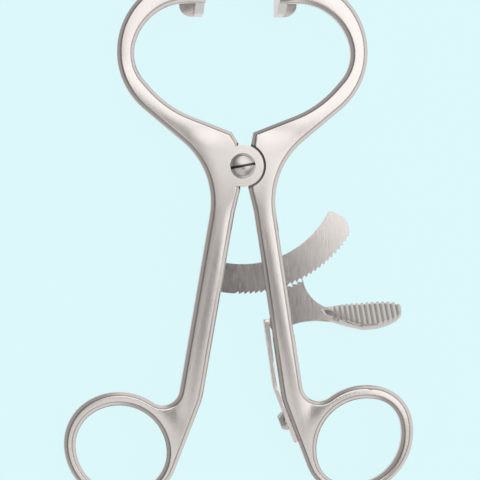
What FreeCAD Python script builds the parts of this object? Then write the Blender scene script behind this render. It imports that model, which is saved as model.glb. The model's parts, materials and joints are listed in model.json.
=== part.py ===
import FreeCAD, Part
import Sketcher
import math
import os
from FreeCAD import Placement, Rotation, Vector

# Ring-handled mouth gag with a ratchet. Millimetres throughout.
# Working frame: pivot axis along Z through the origin, jaws towards +Y, rings towards -Y.
# At the end every piece gets one common placement that lays the gag on its blades and rings.

# Driving sizes: alias, value, what it is
SIZES = [
    ("branch_thickness", 3.9, "depth of both branches"),
    ("bevel", 0.8, "bevel along the long edges of the branches"),
    ("bevel_softening", 0.4, "flatter bevel between that one and the branch's face"),
    ("tip_x", 9.3, "from the middle to the end of each arm"),
    ("arm_x", 12.6, "centre of the arm's outer bow, sideways"),
    ("arm_y", 28.5, "centre of the arm's outer bow, above the pivot"),
    ("arm_outer_radius", 18.75, "outer bow of the arm"),
    ("arm_bow_angle", 50.0, "angle past the side where the outer bow ends"),
    ("waist_radius", 19.5, "hollow of the flank beside the pivot"),
    ("throat_x", 13.55, "centre of the inner bow, sideways"),
    ("throat_y", 27.0, "centre of the inner bow, above the pivot"),
    ("arm_step", 5.05, "difference between the radii of the outer and the inner bow"),
    ("elbow_start_angle", 15.0, "angle above the side where the inner bow tightens"),
    ("elbow_end_angle", 41.0, "angle under the side where the tighter bow ends"),
    ("elbow_radius", 10.0, "tighter part of the inner bow"),
    ("gusset_radius", 26.0, "hollow between the inner bow and the notch"),
    ("gusset_slope_angle", 21.5, "slope of the edge that rises from the notch"),
    ("notch_x", 2.7, "corner of the notch above the pivot, sideways"),
    ("notch_y", 8.35, "corner of the notch above the pivot"),
    ("boss_radius", 5.2, "half-thickness disc of each branch at the pivot"),
    ("boss_gap", 0.6, "running gap round each disc"),
    ("lap_gap", 0.1, "running gap between the two discs"),
    ("left_low_angle", 6.0, "left inner edge under the disc, degrees from straight down"),
    ("left_high_angle", 11.0, "left inner edge over the disc, degrees from straight up"),
    ("right_low_angle", 15.0, "right inner edge under the disc, degrees from straight down"),
    ("right_high_angle", 22.0, "right inner edge over the disc, degrees from straight up"),
    ("waist_y", 11.5, "below the pivot, where the inner edge becomes straight"),
    ("left_waist_x", 2.0, "inner edge of the left shank at the waist"),
    ("right_waist_x", 2.9, "inner edge of the right shank at the waist"),
    ("outer_waist_y", 12.3, "below the pivot, where the outer edge becomes straight"),
    ("left_outer_waist_x", 8.2, "outer edge of the left shank at that height"),
    ("right_outer_waist_x", 8.45, "outer edge of the right shank at that height"),
    ("left_slope_angle", 9.75, "slope of the left shank's outer edge"),
    ("right_slope_angle", 8.6, "slope of the right shank's outer edge"),
    ("left_bend_x", 10.1, "inner edge of the left shank where it turns to the ring, sideways"),
    ("right_bend_x", 9.8, "inner edge of the right shank where it turns to the ring, sideways"),
    ("bend_y", 58.2, "inner edge of the shank where it turns to the ring, below the pivot"),
    ("bend_radius", 15.0, "rounding of that turn"),
    ("saddle_radius", 4.3, "hollow between shank and ring"),
    ("left_ring_x", 30.3, "centre of the left finger hole, sideways"),
    ("left_ring_y", 70.55, "centre of the left finger hole, below the pivot"),
    ("left_ring_long", 11.6, "long half of the left finger hole"),
    ("left_ring_short", 10.7, "short half of the left finger hole"),
    ("left_ring_angle", 29.0, "slope of the long axis of the left finger hole"),
    ("right_ring_x", 29.2, "centre of the right finger hole, sideways"),
    ("right_ring_y", 68.9, "centre of the right finger hole, below the pivot"),
    ("right_ring_long", 11.9, "long half of the right finger hole"),
    ("right_ring_short", 9.9, "short half of the right finger hole"),
    ("right_ring_angle", 45.0, "slope of the long axis of the right finger hole"),
    ("ring_width", 2.9, "width of the ring's band"),
    ("ring_tightness", 1.2, "how much tighter the ends of the finger holes are than their sides"),
    ("ring_lift", 0.4, "how much wider the band is at its top than at its middle"),
    ("blade_low", 38.7, "blade's near edge above the pivot"),
    ("blade_high", 49.75, "blade's far edge above the pivot"),
    ("blade_depth", 16.0, "how far the blade reaches behind the branch"),
    ("blade_thickness", 2.2, "wall of the blade"),
    ("blade_neck", 0.6, "blade's step in from the arm's edges at its root"),
    ("blade_flare", 6.0, "depth at which the blade has its full width"),
    ("blade_bow", 4.0, "rounding where the blade widens"),
    ("lip_reach", 5.8, "how far the lip stands out from the blade's inner face"),
    ("lip_thickness", 1.8, "thickness of the lip"),
    ("lip_corner", 3.1, "corner radius of the lip"),
    ("blade_round", 0.45, "rounding of the blade's free edges"),
    ("groove_depth", 0.35, "depth of the grip grooves on the blade"),
    ("groove_pitch", 2.0, "spacing of the grip grooves"),
    ("groove_width", 0.9, "width of the grip grooves"),
    ("screw_radius", 1.8, "body of the pivot screw"),
    ("screw_head_radius", 3.15, "head of the pivot screw"),
    ("screw_head_rise", 0.55, "straight rim of the head above the branch"),
    ("screw_dome", 0.3, "height of the head's dome over its rim"),
    ("driver_slot", 0.65, "width of the driver slot"),
    ("driver_slot_depth", 0.8, "depth of the driver slot"),
    ("driver_slot_angle", 10.5, "direction of the driver slot"),
    ("turning_gap", 0.08, "running gap of a pin or screw in its hole"),
    ("bar_inner", 24.5, "inner radius of the ratchet bar, about the pivot"),
    ("bar_tip", 31.95, "radius of the ratchet bar's tooth tips"),
    ("bar_thickness", 2.2, "thickness of the ratchet bar"),
    ("bar_end_angle", 26.8, "free end of the bar, degrees below +X"),
    ("bar_nose", 4.4, "rounding of the free end's toothed corner"),
    ("bar_heel", 0.8, "rounding of the free end's other corner"),
    ("tang_end_angle", 107.0, "inner end of the bar's tang, degrees below +X"),
    ("socket_end_angle", 90.0, "where the tang's socket ends beyond the left shank, degrees below +X"),
    ("tooth_depth", 0.6, "depth of the ratchet teeth"),
    ("tooth_pitch", 2.42, "angle from one ratchet tooth to the next"),
    ("tooth_undercut", 0.3, "angle by which the steep flank leans back"),
    ("tooth_start_angle", 95.4, "first tooth beside the left shank, degrees below +X"),
    ("tooth_stop_angle", 33.5, "last tooth at the free end, degrees below +X"),
    ("seat_gap", 0.05, "gap between a fixed piece and its seat"),
    ("rivet_radius", 1.0, "rivet that holds the bar's tang"),
    ("rivet_angle", 103.8, "place of the rivet along the bar, degrees below +X"),
    ("slot_width", 2.6, "width of the slot through the right shank"),
    ("slot_middle", 4.0, "middle of that slot, across the shank from the pivot"),
    ("slot_reach", 8.0, "half length of the cut across the shank, longer than the shank is wide"),
    ("slot_high", 17.6, "upper end of the slot, along the shank from the pivot"),
    ("slot_low", 43.6, "lower end of the slot, along the shank from the pivot"),
    ("lever_pin_radius", 1.2, "pin that carries the release lever"),
    ("lever_pin_x", 9.1, "lever pin, sideways from the pivot"),
    ("lever_pin_y", 37.3, "lever pin, below the pivot"),
    ("lever_thickness", 2.2, "thickness of the release lever in the slot"),
    ("pawl_gap", 0.15, "gap between the pawl's and the bar's tooth tips"),
    ("pawl_teeth", 3.0, "teeth on the pawl"),
    ("pawl_first_angle", 69.6, "first pawl tooth, degrees below +X"),
    ("crook_x", 16.8, "upper edge of the lever where pawl and neck meet, sideways"),
    ("crook_radius", 9.0, "rounding of that meeting"),
    ("neck_top", 35.4, "upper edge of the lever's neck, below the pivot"),
    ("neck_bottom", 38.9, "lower edge of the lever's neck, below the pivot"),
    ("neck_tuck", 0.4, "how far the neck's end is drawn in, so that it ends inside the paddle"),
    ("heel_x", 15.0, "lower edge of the lever where neck and eye meet, sideways"),
    ("heel_radius", 20.0, "rounding of that meeting"),
    ("tail_y", 39.9, "where the lever's tail meets the leaf spring, below the pivot"),
    ("tail_foot", 0.9, "half length of the tail's foot"),
    ("tail_lean", 0.3, "how far the foot's end leans away from the leaf spring"),
    ("eye_wall", 2.3, "metal round the lever's eye"),
    ("paddle_start", 22.6, "where the paddle begins, sideways from the pivot"),
    ("paddle_end", 39.9, "tip of the paddle, sideways from the pivot"),
    ("paddle_drop", 36.6, "middle of the paddle's grip face, below the pivot"),
    ("paddle_dip", 1.0, "how much higher the tip of the grip face is than its middle"),
    ("paddle_width", 9.0, "width of the paddle"),
    ("paddle_depth", 4.6, "depth of the paddle under its grip face"),
    ("paddle_tilt", 33.0, "turn of the grip face towards the viewer"),
    ("ridge_pitch", 1.3, "spacing of the ridges on the paddle"),
    ("ridge_depth", 0.55, "depth of the grooves between the ridges"),
    ("ridge_gap", 0.9, "width of those grooves"),
    ("ridge_inset", 0.975, "from the paddle's tip to the middle of the first groove"),
    ("ridge_root", 0.12, "rounding at the bottom of those grooves"),
    ("ridge_count", 13.0, "grooves across the paddle"),
    ("spring_width", 3.2, "width of the leaf spring"),
    ("spring_thick", 1.25, "thickness of the leaf spring at its free end"),
    ("spring_thin", 0.95, "thickness of the leaf spring at its seat"),
    ("spring_standoff", 0.8, "gap between the leaf spring and the shank's bend"),
    ("spring_close", 0.4, "gap between the leaf spring's free end and the shank"),
    ("spring_bow", 9.0, "rounding of the leaf spring's bend"),
    ("spring_top", 38.2, "free end of the leaf spring, below the pivot"),
    ("spring_end", 11.4, "lower end of the leaf spring, along the edge from the shank's bend"),
    ("spring_screw_place", 5.5, "middle of the spring's screw, along the same edge"),
    ("spring_screw_radius", 1.1, "body of the spring's screw"),
    ("spring_screw_head", 2.4, "radius of the head of the spring's screw"),
    ("spring_screw_rise", 1.5, "height of the head of the spring's screw"),
    ("spring_screw_rim", 0.5, "straight rim of the head of the spring's screw"),
    ("spring_screw_slot", 0.6, "width and depth of its driver slot"),
    ("spring_screw_depth", 3.4, "how deep the spring's screw goes into the shank"),
]

doc = FreeCAD.newDocument("mouth_gag")
sheet = doc.addObject("Spreadsheet::Sheet", "Sizes")
for row, (alias, value, meaning) in enumerate(SIZES, start=1):
    sheet.set("A%d" % row, alias)
    sheet.set("B%d" % row, str(value))
    sheet.set("C%d" % row, meaning)
    sheet.setAlias("B%d" % row, alias)
doc.recompute()


def size(alias):
    """The value of one cell of the sheet."""
    return float(sheet.get(alias))


# Steps of a search by halves, and the smallest volume that counts as cut away
HALVINGS = 60
LEAST_CUT = 1e-3


def polar(radius, degrees):
    """Point at a radius and an angle from +X."""
    angle = math.radians(degrees)
    return Vector(radius * math.cos(angle), radius * math.sin(angle), 0)


def line(start, end):
    return Part.LineSegment(start, end)


def arc(centre, start, end, turn):
    """Arc about centre from start to end, turn +1 against the clock or -1 with it."""
    first = math.atan2(start.y - centre.y, start.x - centre.x)
    last = math.atan2(end.y - centre.y, end.x - centre.x)
    sweep = (last - first) * turn % math.tau
    middle = first + turn * sweep / 2
    radius = (start - centre).Length
    return Part.Arc(start, centre + Vector(math.cos(middle), math.sin(middle), 0) * radius, end)


def corner(before, point, after, radius):
    """Arc that rounds a corner: its first point, the arc and its last point."""
    back = (before - point).normalize()
    ahead = (after - point).normalize()
    half = back.getAngle(ahead) / 2
    reach = radius / math.tan(half)
    start = point + back * reach
    end = point + ahead * reach
    bisector = (back + ahead).normalize()
    nearest = point + bisector * (radius / math.sin(half) - radius)
    return start, Part.Arc(start, nearest, end), end


def rounded(points, radii):
    """Closed outline through corner points, each rounded by its radius or sharp at 0."""
    count = len(points)
    pieces = []
    ends = []
    for index, point in enumerate(points):
        if radii[index] > 0:
            start, bow, end = corner(points[index - 1], point, points[(index + 1) % count], radii[index])
            ends.append((start, end))
            pieces.append(bow)
        else:
            ends.append((point, point))
            pieces.append(None)
    outline = []
    for index in range(count):
        if pieces[index] is not None:
            outline.append(pieces[index])
        outline.append(line(ends[index][1], ends[(index + 1) % count][0]))
    return outline


def polygon(points):
    """Closed outline of straight lines."""
    return [line(start, end) for start, end in zip(points, points[1:] + points[:1])]


def box(across, upward):
    """Rectangle about the origin, given by its half width and half height."""
    return polygon([Vector(-across, -upward, 0), Vector(across, -upward, 0),
                    Vector(across, upward, 0), Vector(-across, upward, 0)])


def meet(first, first_way, second, second_way):
    """Crossing of two lines in one plane, each a point and a direction."""
    cross = first_way.x * second_way.y - first_way.y * second_way.x
    gap = second - first
    return first + first_way * ((gap.x * second_way.y - gap.y * second_way.x) / cross)


def new_body(label):
    body = doc.addObject("PartDesign::Body", label)
    body.Label = label
    return body


def add_sketch(body, name, geometry, offset=None, role="XY_Plane"):
    """Sketch on one of the body's own planes, moved by offset."""
    sketch = body.newObject("Sketcher::SketchObject", name)
    plane = [item for item in body.Origin.OriginFeatures if item.Role == role][0]
    sketch.AttachmentSupport = (plane, "")
    sketch.MapMode = "FlatFace"
    if offset is not None:
        sketch.AttachmentOffset = offset
    sketch.addGeometry(geometry, False)
    return sketch


def circle_sketch(body, name, centre, radius_expression, offset=None, role="XY_Plane"):
    """Sketch of one circle whose radius follows the sheet."""
    circle = Part.Circle(centre, Vector(0, 0, 1), 1.0)
    sketch = add_sketch(body, name, [circle], offset, role)
    sketch.addConstraint(Sketcher.Constraint("DistanceX", 0, 3, centre.x))
    sketch.addConstraint(Sketcher.Constraint("DistanceY", 0, 3, centre.y))
    radius = sketch.addConstraint(Sketcher.Constraint("Radius", 0, 1.0))
    sketch.setExpression("Constraints[%d]" % radius, radius_expression)
    return sketch


def extrude(body, kind, name, sketch, length, symmetric=False, backwards=False):
    """Pad or Pocket of a length that follows the sheet."""
    feature = body.newObject("PartDesign::" + kind, name)
    feature.Profile = sketch
    feature.setExpression("Length", length)
    feature.SideType = "Symmetric" if symmetric else "One side"
    feature.Reversed = backwards
    doc.recompute()
    return feature


def cut(body, name, sketch, length, symmetric=False, backwards=False):
    """Pocket that is known to have taken material away."""
    before = body.Shape.Volume
    feature = extrude(body, "Pocket", name, sketch, length, symmetric, backwards)
    if not body.Shape.Volume < before - LEAST_CUT:
        raise RuntimeError(name + " cuts nothing")
    return feature


def dress_edges(body, kind, name, wanted, amount):
    """Fillet or Chamfer on the edges of the body that wanted() picks."""
    base = body.Tip
    edges = ["Edge%d" % (i + 1) for i, edge in enumerate(base.Shape.Edges) if wanted(edge)]
    feature = body.newObject("PartDesign::" + kind, name)
    feature.Base = (base, edges)
    feature.setExpression("Radius" if kind == "Fillet" else "Size", amount)
    doc.recompute()
    return feature


def round_edges(body, name, wanted, radius):
    return dress_edges(body, "Fillet", name, wanted, radius)


def bevel_edges(body, name, height):
    """Two bevels, a steep and a flat one, along the edges at a height above or below the middle."""
    for step, amount in (("_bevel", "Sizes.bevel"), ("_softening", "Sizes.bevel_softening")):
        dress_edges(body, "Chamfer", name + step,
                    lambda edge: at_height(edge, height) or at_height(edge, -height), amount)


def at_height(edge, height):
    """True when an edge lies flat at a height."""
    box = edge.BoundBox
    return abs(box.ZMin - height) < 1e-4 and abs(box.ZMax - height) < 1e-4


UP = Vector(0, 0, 1)
HALF = size("branch_thickness") / 2
THROAT_RADIUS = size("arm_outer_radius") - size("arm_step")
RIVET = polar((size("bar_inner") + size("bar_tip")) / 2, -size("rivet_angle"))
LEVER_PIN = Vector(size("lever_pin_x"), -size("lever_pin_y"), 0)

# Share of a screw head's radius that is flat on top
DOME_FLAT = 0.72

# How much longer than the head a driver slot is drawn, so that it runs out at both sides
OVERRUN = 1.2


def ring_oval(side, name, grow, lift):
    """Four arcs of a finger ring's oval: centre, radius, first and last direction of the normal.

    It is the hole itself, or the band's outside when it grows.
    """
    turn = math.radians(size(name + "_ring_angle")) * side
    middle = Vector(side * size(name + "_ring_x"), -size(name + "_ring_y") + lift, 0)
    along = Vector(math.cos(turn), math.sin(turn), 0)
    across = Vector(-along.y, along.x, 0)
    long_half = size(name + "_ring_long") + grow
    short_half = size(name + "_ring_short") + grow
    end_radius = short_half - size("ring_tightness") * (long_half - short_half)
    reach = long_half - end_radius
    side_radius = (reach ** 2 + short_half ** 2 - end_radius ** 2) / (2 * (short_half - end_radius))
    drop = side_radius - short_half
    spread = math.atan2(drop, reach)
    return [
        (middle + along * reach, end_radius, turn - spread, turn + spread),
        (middle - across * drop, side_radius, turn + spread, turn + math.pi - spread),
        (middle - along * reach, end_radius, turn + math.pi - spread, turn + math.pi + spread),
        (middle + across * drop, side_radius, turn + math.pi + spread, turn + math.tau - spread),
    ]


def oval_point(oval, way):
    """Point of the oval whose normal has a direction."""
    for centre, radius, first, last in oval:
        if (way - first) % math.tau <= last - first:
            return centre + Vector(math.cos(way), math.sin(way), 0) * radius


def oval_nearest(oval, point):
    """Direction of the oval's normal towards a point outside it, and the point's distance."""
    for centre, radius, first, last in oval:
        way = math.atan2(point.y - centre.y, point.x - centre.x)
        if (way - first) % math.tau <= last - first:
            return way, (point - centre).Length - radius


def oval_part(oval, start, end):
    """Arcs of the oval between two directions of its normal, against the clock."""
    while end < start:
        end += math.tau
    pieces = []
    for centre, radius, first, last in oval:
        for round_trip in (-2, -1, 0, 1, 2):
            low = max(start, first + round_trip * math.tau)
            high = min(end, last + round_trip * math.tau)
            if high - low > 1e-6:
                pieces.append(Part.ArcOfCircle(Part.Circle(centre, UP, radius), low, high))
    return pieces


def tangent_way(oval, outside, side):
    """Direction of the oval's normal where a line from a point outside touches its inner side."""
    near = oval_nearest(oval, outside)[0]
    far = near + side * math.pi
    for _ in range(HALVINGS):
        way = (near + far) / 2
        normal = Vector(math.cos(way), math.sin(way), 0)
        if (outside - oval_point(oval, way)).dot(normal) > 0:
            near = way
        else:
            far = way
    return way


def saddle(oval, start, down, out):
    """Hollow between the shank's outer edge and the ring: its end on the edge, normal and centre."""
    radius = size("saddle_radius")
    near = 0.0
    far = size("left_ring_y") - size("outer_waist_y")
    for _ in range(HALVINGS):
        reach = (near + far) / 2
        centre = start + down * reach + out * radius
        way, distance = oval_nearest(oval, centre)
        if distance > radius:
            near = reach
        else:
            far = reach
    return start + down * reach, way, centre


def branch_outline(side, name):
    """Outline of a branch from arm tip to ring, for side -1 (left) or +1 (right)."""
    def point(across, up):
        return Vector(side * across, up, 0)

    def way(degrees):
        """Direction at an angle above the branch's own side."""
        return point(math.cos(math.radians(degrees)), math.sin(math.radians(degrees)))
    turn = side * -1
    bow_centre = point(size("arm_x"), size("arm_y"))
    bow_top = point(size("arm_x"), size("arm_y") + size("arm_outer_radius"))
    bow_end = bow_centre + way(-size("arm_bow_angle")) * size("arm_outer_radius")
    flank = way(-size("arm_bow_angle") - 90)
    down = way(size(name + "_slope_angle") - 90)
    out = way(size(name + "_slope_angle"))
    waist_out = point(size(name + "_outer_waist_x"), -size("outer_waist_y"))
    crossing = meet(bow_end, flank, waist_out, down)
    flank_end, waist_arc, waist_end = corner(bow_end, crossing, crossing + down, size("waist_radius"))
    oval = ring_oval(side, name, size("ring_width"), size("ring_lift"))
    saddle_start, saddle_way, saddle_centre = saddle(oval, waist_end, down, out)
    bend = point(size(name + "_bend_x"), -size("bend_y"))
    touch_way = tangent_way(oval, bend, side)
    touch = oval_point(oval, touch_way)
    waist_in = point(size(name + "_waist_x"), -size("waist_y"))
    bend_start, bend_arc, bend_end = corner(touch, bend, waist_in, size("bend_radius"))
    rim = size("boss_radius") + size("boss_gap")
    lap_low = way(size(name + "_low_angle") - 90) * rim
    lap_high = way(90 - size(name + "_high_angle")) * rim
    notch = point(size("notch_x"), size("notch_y"))
    throat_centre = point(size("throat_x"), size("throat_y"))
    throat_top = point(size("throat_x"), size("throat_y") + THROAT_RADIUS)
    throat_end = throat_centre + way(size("elbow_start_angle")) * THROAT_RADIUS
    elbow_centre = throat_centre + way(size("elbow_start_angle")) * (THROAT_RADIUS - size("elbow_radius"))
    elbow_end = elbow_centre + way(-size("elbow_end_angle")) * size("elbow_radius")
    rise = way(size("gusset_slope_angle"))
    gusset = meet(elbow_end, way(-size("elbow_end_angle") - 90), notch, rise)
    gusset_start, gusset_arc, gusset_end = corner(notch, gusset, elbow_end, size("gusset_radius"))
    tip_in = point(size("tip_x"), throat_top.y)
    tip_out = point(size("tip_x"), bow_top.y)
    ways = (saddle_way, touch_way) if side < 0 else (touch_way, saddle_way)
    return [
        line(tip_out, bow_top),
        arc(bow_centre, bow_top, bow_end, turn),
        line(bow_end, flank_end),
        waist_arc,
        line(waist_end, saddle_start),
        arc(saddle_centre, saddle_start, oval_point(oval, saddle_way), -turn),
        line(touch, bend_start),
        bend_arc,
        line(bend_end, waist_in),
        line(waist_in, lap_low),
        line(lap_low, lap_high),
        line(lap_high, notch),
        line(notch, gusset_start),
        gusset_arc,
        line(gusset_end, elbow_end),
        arc(elbow_centre, elbow_end, throat_end, -turn),
        arc(throat_centre, throat_end, throat_top, -turn),
        line(throat_top, tip_in),
        line(tip_in, tip_out),
    ] + oval_part(oval, *ways)


def add_blade(body, side):
    """Jaw blade: a flared web that reaches behind the arm's tip, with a lip turned outwards."""
    wall = size("blade_thickness")
    low = size("blade_low")
    high = size("blade_high")
    neck_low = size("throat_y") + THROAT_RADIUS + size("blade_neck")
    neck_high = size("arm_y") + size("arm_outer_radius") - size("blade_neck")
    root = -HALF
    full = -HALF - size("blade_flare")
    bottom = -HALF - size("blade_depth")
    web_points = [Vector(neck_low, 0, 0), Vector(neck_high, 0, 0), Vector(neck_high, root, 0),
                  Vector(high, full, 0), Vector(high, bottom, 0), Vector(low, bottom, 0),
                  Vector(low, full, 0), Vector(neck_low, root, 0)]
    bow = size("blade_bow")
    web_outline = rounded(web_points, [0, 0, bow, bow, 0, 0, bow, bow])
    inner_face = Placement(Vector(0, 0, side * size("tip_x")), Rotation())
    web_sketch = add_sketch(body, body.Label + "_web_outline", web_outline, inner_face, "YZ_Plane")
    extrude(body, "Pad", body.Label + "_web", web_sketch, "Sizes.blade_thickness", backwards=side < 0)
    near = side * size("tip_x")
    far = side * (size("tip_x") + size("lip_reach"))
    corners = [Vector(near, low, 0), Vector(far, low, 0), Vector(far, high, 0), Vector(near, high, 0)]
    lip_radii = [0, size("lip_corner"), size("lip_corner"), 0]
    lip_outline = rounded(corners, lip_radii)
    lip_sketch = add_sketch(body, body.Label + "_lip_outline", lip_outline,
                            Placement(Vector(0, 0, bottom), Rotation()))
    extrude(body, "Pad", body.Label + "_lip", lip_sketch, "Sizes.lip_thickness")
    round_edges(body, body.Label + "_lip_rounding",
                lambda edge: at_height(edge, bottom), "Sizes.blade_round")
    half = size("groove_width") / 2
    grooves = []
    depth = size("blade_flare") + half
    while depth < size("blade_depth") - size("lip_thickness") - size("groove_width"):
        middle = -HALF - depth
        grooves += polygon([Vector(low - wall, middle - half, 0), Vector(high + wall, middle - half, 0),
                            Vector(high + wall, middle + half, 0), Vector(low - wall, middle + half, 0)])
        depth += size("groove_pitch")
    outer_face = Placement(Vector(0, 0, side * (size("tip_x") + wall)), Rotation())
    groove_sketch = add_sketch(body, body.Label + "_groove_outline", grooves, outer_face, "YZ_Plane")
    cut(body, body.Label + "_grooves", groove_sketch, "Sizes.groove_depth", backwards=side < 0)


def make_branch(side, name):
    """Left or right branch: arm, lap disc, shank and finger ring in one forging."""
    body = new_body(name + "_branch")
    plan = branch_outline(side, name) + oval_part(ring_oval(side, name, 0, 0), 0, math.tau)
    plan_sketch = add_sketch(body, name + "_plan", plan)
    extrude(body, "Pad", name + "_forging", plan_sketch, "Sizes.branch_thickness", symmetric=True)
    bevel_edges(body, name, HALF)
    lap = size("lap_gap") / 2
    disc_face = Placement(Vector(0, 0, -side * lap), Rotation())
    disc_sketch = circle_sketch(body, name + "_disc_circle", Vector(), "Sizes.boss_radius", disc_face)
    extrude(body, "Pad", name + "_disc", disc_sketch,
            "Sizes.branch_thickness / 2 - Sizes.lap_gap / 2", backwards=side > 0)
    recess_sketch = circle_sketch(body, name + "_recess_circle", Vector(),
                                  "Sizes.boss_radius + Sizes.boss_gap", disc_face)
    cut(body, name + "_recess", recess_sketch, "Sizes.branch_thickness", backwards=side > 0)
    bore = "Sizes.screw_radius + Sizes.turning_gap" if side < 0 else "Sizes.screw_radius"
    bore_sketch = circle_sketch(body, name + "_bore_circle", Vector(), bore)
    cut(body, name + "_bore", bore_sketch, "Sizes.branch_thickness * 2", symmetric=True)
    add_blade(body, side)
    return body


def sector(inner, outer, first, last):
    """Closed outline of a ring sector about the pivot, angles from +X."""
    return [
        arc(Vector(), polar(outer, first), polar(outer, last), 1),
        line(polar(outer, last), polar(inner, last)),
        arc(Vector(), polar(inner, last), polar(inner, first), -1),
        line(polar(inner, first), polar(outer, first)),
    ]


def loft(body, name, sections):
    """Solid through the section sketches, straight from one to the next."""
    feature = body.newObject("PartDesign::AdditiveLoft", name)
    feature.Profile = sections[0]
    feature.Sections = sections[1:]
    feature.Ruled = True
    doc.recompute()
    return feature


def revolve(body, name, sketch):
    """Solid of revolution about the sketch's own vertical axis."""
    feature = body.newObject("PartDesign::Revolution", name)
    feature.Profile = sketch
    feature.ReferenceAxis = (sketch, ["V_Axis"])
    feature.Angle = 360
    doc.recompute()
    return feature


def tooth_notch(root, tip, angle):
    """Triangle between two ratchet teeth: steep flank at angle, ramp one pitch away."""
    mouth = tip + (tip - root) / 5
    return polygon([polar(mouth, angle), polar(root, angle - size("tooth_undercut")),
                    polar(mouth, angle - size("tooth_pitch"))])


def repeat_round(body, name, feature, pitch, count):
    """Copies of a cut, turned about the pivot by one pitch each."""
    before = body.Shape.Volume
    pattern = body.newObject("PartDesign::PolarPattern", name)
    pattern.Originals = [feature]
    pattern.Axis = (feature.Profile[0], ["N_Axis"])
    pattern.Mode = "Spacing"
    pattern.setExpression("Offset", pitch)
    pattern.Occurrences = count
    body.Tip = pattern
    doc.recompute()
    if not body.Shape.Volume < before - LEAST_CUT:
        raise RuntimeError(name + " repeats nothing")
    return pattern


def seat_line():
    """Straight inner edge between the right shank's bend and its ring: start, along, outwards."""
    bend = Vector(size("right_bend_x"), -size("bend_y"), 0)
    oval = ring_oval(1, "right", size("ring_width"), size("ring_lift"))
    along = (oval_point(oval, tangent_way(oval, bend, 1)) - bend).normalize()
    return bend, along, Vector(along.y, -along.x, 0)


def inner_edge():
    """Straight inner edge of the right shank above its bend: lower end, upwards, outwards."""
    bend = Vector(size("right_bend_x"), -size("bend_y"), 0)
    up = (Vector(size("right_waist_x"), -size("waist_y"), 0) - bend).normalize()
    return bend, up, Vector(-up.y, up.x, 0)


SHANK_FRAME = Rotation(UP, size("right_slope_angle"))
SEAT, SEAT_ALONG, SEAT_OUT = seat_line()
EDGE, EDGE_UP, EDGE_OUT = inner_edge()
SPRING_SCREW = SEAT + SEAT_ALONG * size("spring_screw_place")


def facing(direction, at):
    """Sketch plane through a point, looking along a direction that lies in the gag's plane."""
    side = UP.cross(direction)
    return Placement(at, Rotation(side, UP, direction, "ZYX"))


def finish_left(body):
    """Socket for the ratchet bar's tang and its rivet hole in the left shank."""
    gap = size("seat_gap")
    extra = math.degrees(gap / size("bar_tip"))
    socket = sector(size("bar_inner") - gap, size("bar_tip") + gap,
                    -size("tang_end_angle") - extra, -size("socket_end_angle"))
    socket_sketch = add_sketch(body, "tang_socket_outline", socket)
    cut(body, "tang_socket", socket_sketch, "Sizes.bar_thickness + 2 * Sizes.seat_gap", symmetric=True)
    rivet_sketch = circle_sketch(body, "rivet_hole_circle", RIVET, "Sizes.rivet_radius")
    cut(body, "rivet_hole", rivet_sketch, "Sizes.branch_thickness * 2", symmetric=True)


def finish_right(body):
    """Slot for bar and lever, the lever pin's hole and the spring screw's hole in the right shank."""
    middle = SHANK_FRAME.multVec(Vector(size("slot_middle"), -(size("slot_low") + size("slot_high")) / 2, 0))
    slot = box(size("slot_reach"), (size("slot_low") - size("slot_high")) / 2)
    slot_sketch = add_sketch(body, "shank_slot_outline", slot, Placement(middle, SHANK_FRAME))
    cut(body, "shank_slot", slot_sketch, "Sizes.slot_width", symmetric=True)
    pin_sketch = circle_sketch(body, "lever_pin_hole_circle", LEVER_PIN, "Sizes.lever_pin_radius")
    cut(body, "lever_pin_hole", pin_sketch, "Sizes.branch_thickness * 2", symmetric=True)
    screw_sketch = circle_sketch(body, "spring_screw_hole_circle", Vector(), "Sizes.spring_screw_radius",
                                 facing(SEAT_OUT, SPRING_SCREW))
    cut(body, "spring_screw_hole", screw_sketch, "Sizes.spring_screw_depth + Sizes.seat_gap")


def make_ratchet_bar():
    """Toothed bar on an arc about the pivot, with a plain tang at its fixed end."""
    body = new_body("ratchet_bar")
    inner = size("bar_inner")
    tip = size("bar_tip")
    blank = sector(inner, tip, -size("tang_end_angle"), -size("bar_end_angle"))
    blank_sketch = add_sketch(body, "bar_outline", blank)
    extrude(body, "Pad", "bar_blank", blank_sketch, "Sizes.bar_thickness", symmetric=True)
    for name, radius in (("bar_heel", inner), ("bar_nose", tip)):
        spot = polar(radius, -size("bar_end_angle"))
        round_edges(body, name, lambda edge: edge.Curve.TypeId == "Part::GeomLine" and
                    (edge.CenterOfMass - spot).Length < 0.1, "Sizes." + name)
    notch = tooth_notch(tip - size("tooth_depth"), tip, -size("tooth_stop_angle"))
    notch_sketch = add_sketch(body, "bar_notch_outline", notch)
    first = cut(body, "bar_notch", notch_sketch, "Sizes.bar_thickness * 2", symmetric=True)
    count = int((size("tooth_start_angle") - size("tooth_stop_angle")) / size("tooth_pitch"))
    repeat_round(body, "bar_teeth", first, "-Sizes.tooth_pitch", count)
    rivet_sketch = circle_sketch(body, "tang_hole_circle", RIVET, "Sizes.rivet_radius")
    cut(body, "tang_hole", rivet_sketch, "Sizes.bar_thickness * 2", symmetric=True)
    return body


def dome(radius, rim, top):
    """Profile of a screw head's low dome, from its rim to its axis: a cone and a flat top."""
    shoulder = Vector(radius * DOME_FLAT, top, 0)
    return [line(Vector(radius, rim, 0), shoulder), line(shoulder, Vector(0, top, 0))]


def make_pin(label, centre, radius):
    """Plain pin through a branch, flush on both faces."""
    body = new_body(label)
    sketch = circle_sketch(body, label + "_circle", centre, radius)
    extrude(body, "Pad", label + "_body", sketch, "Sizes.branch_thickness", symmetric=True)
    return body


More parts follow.
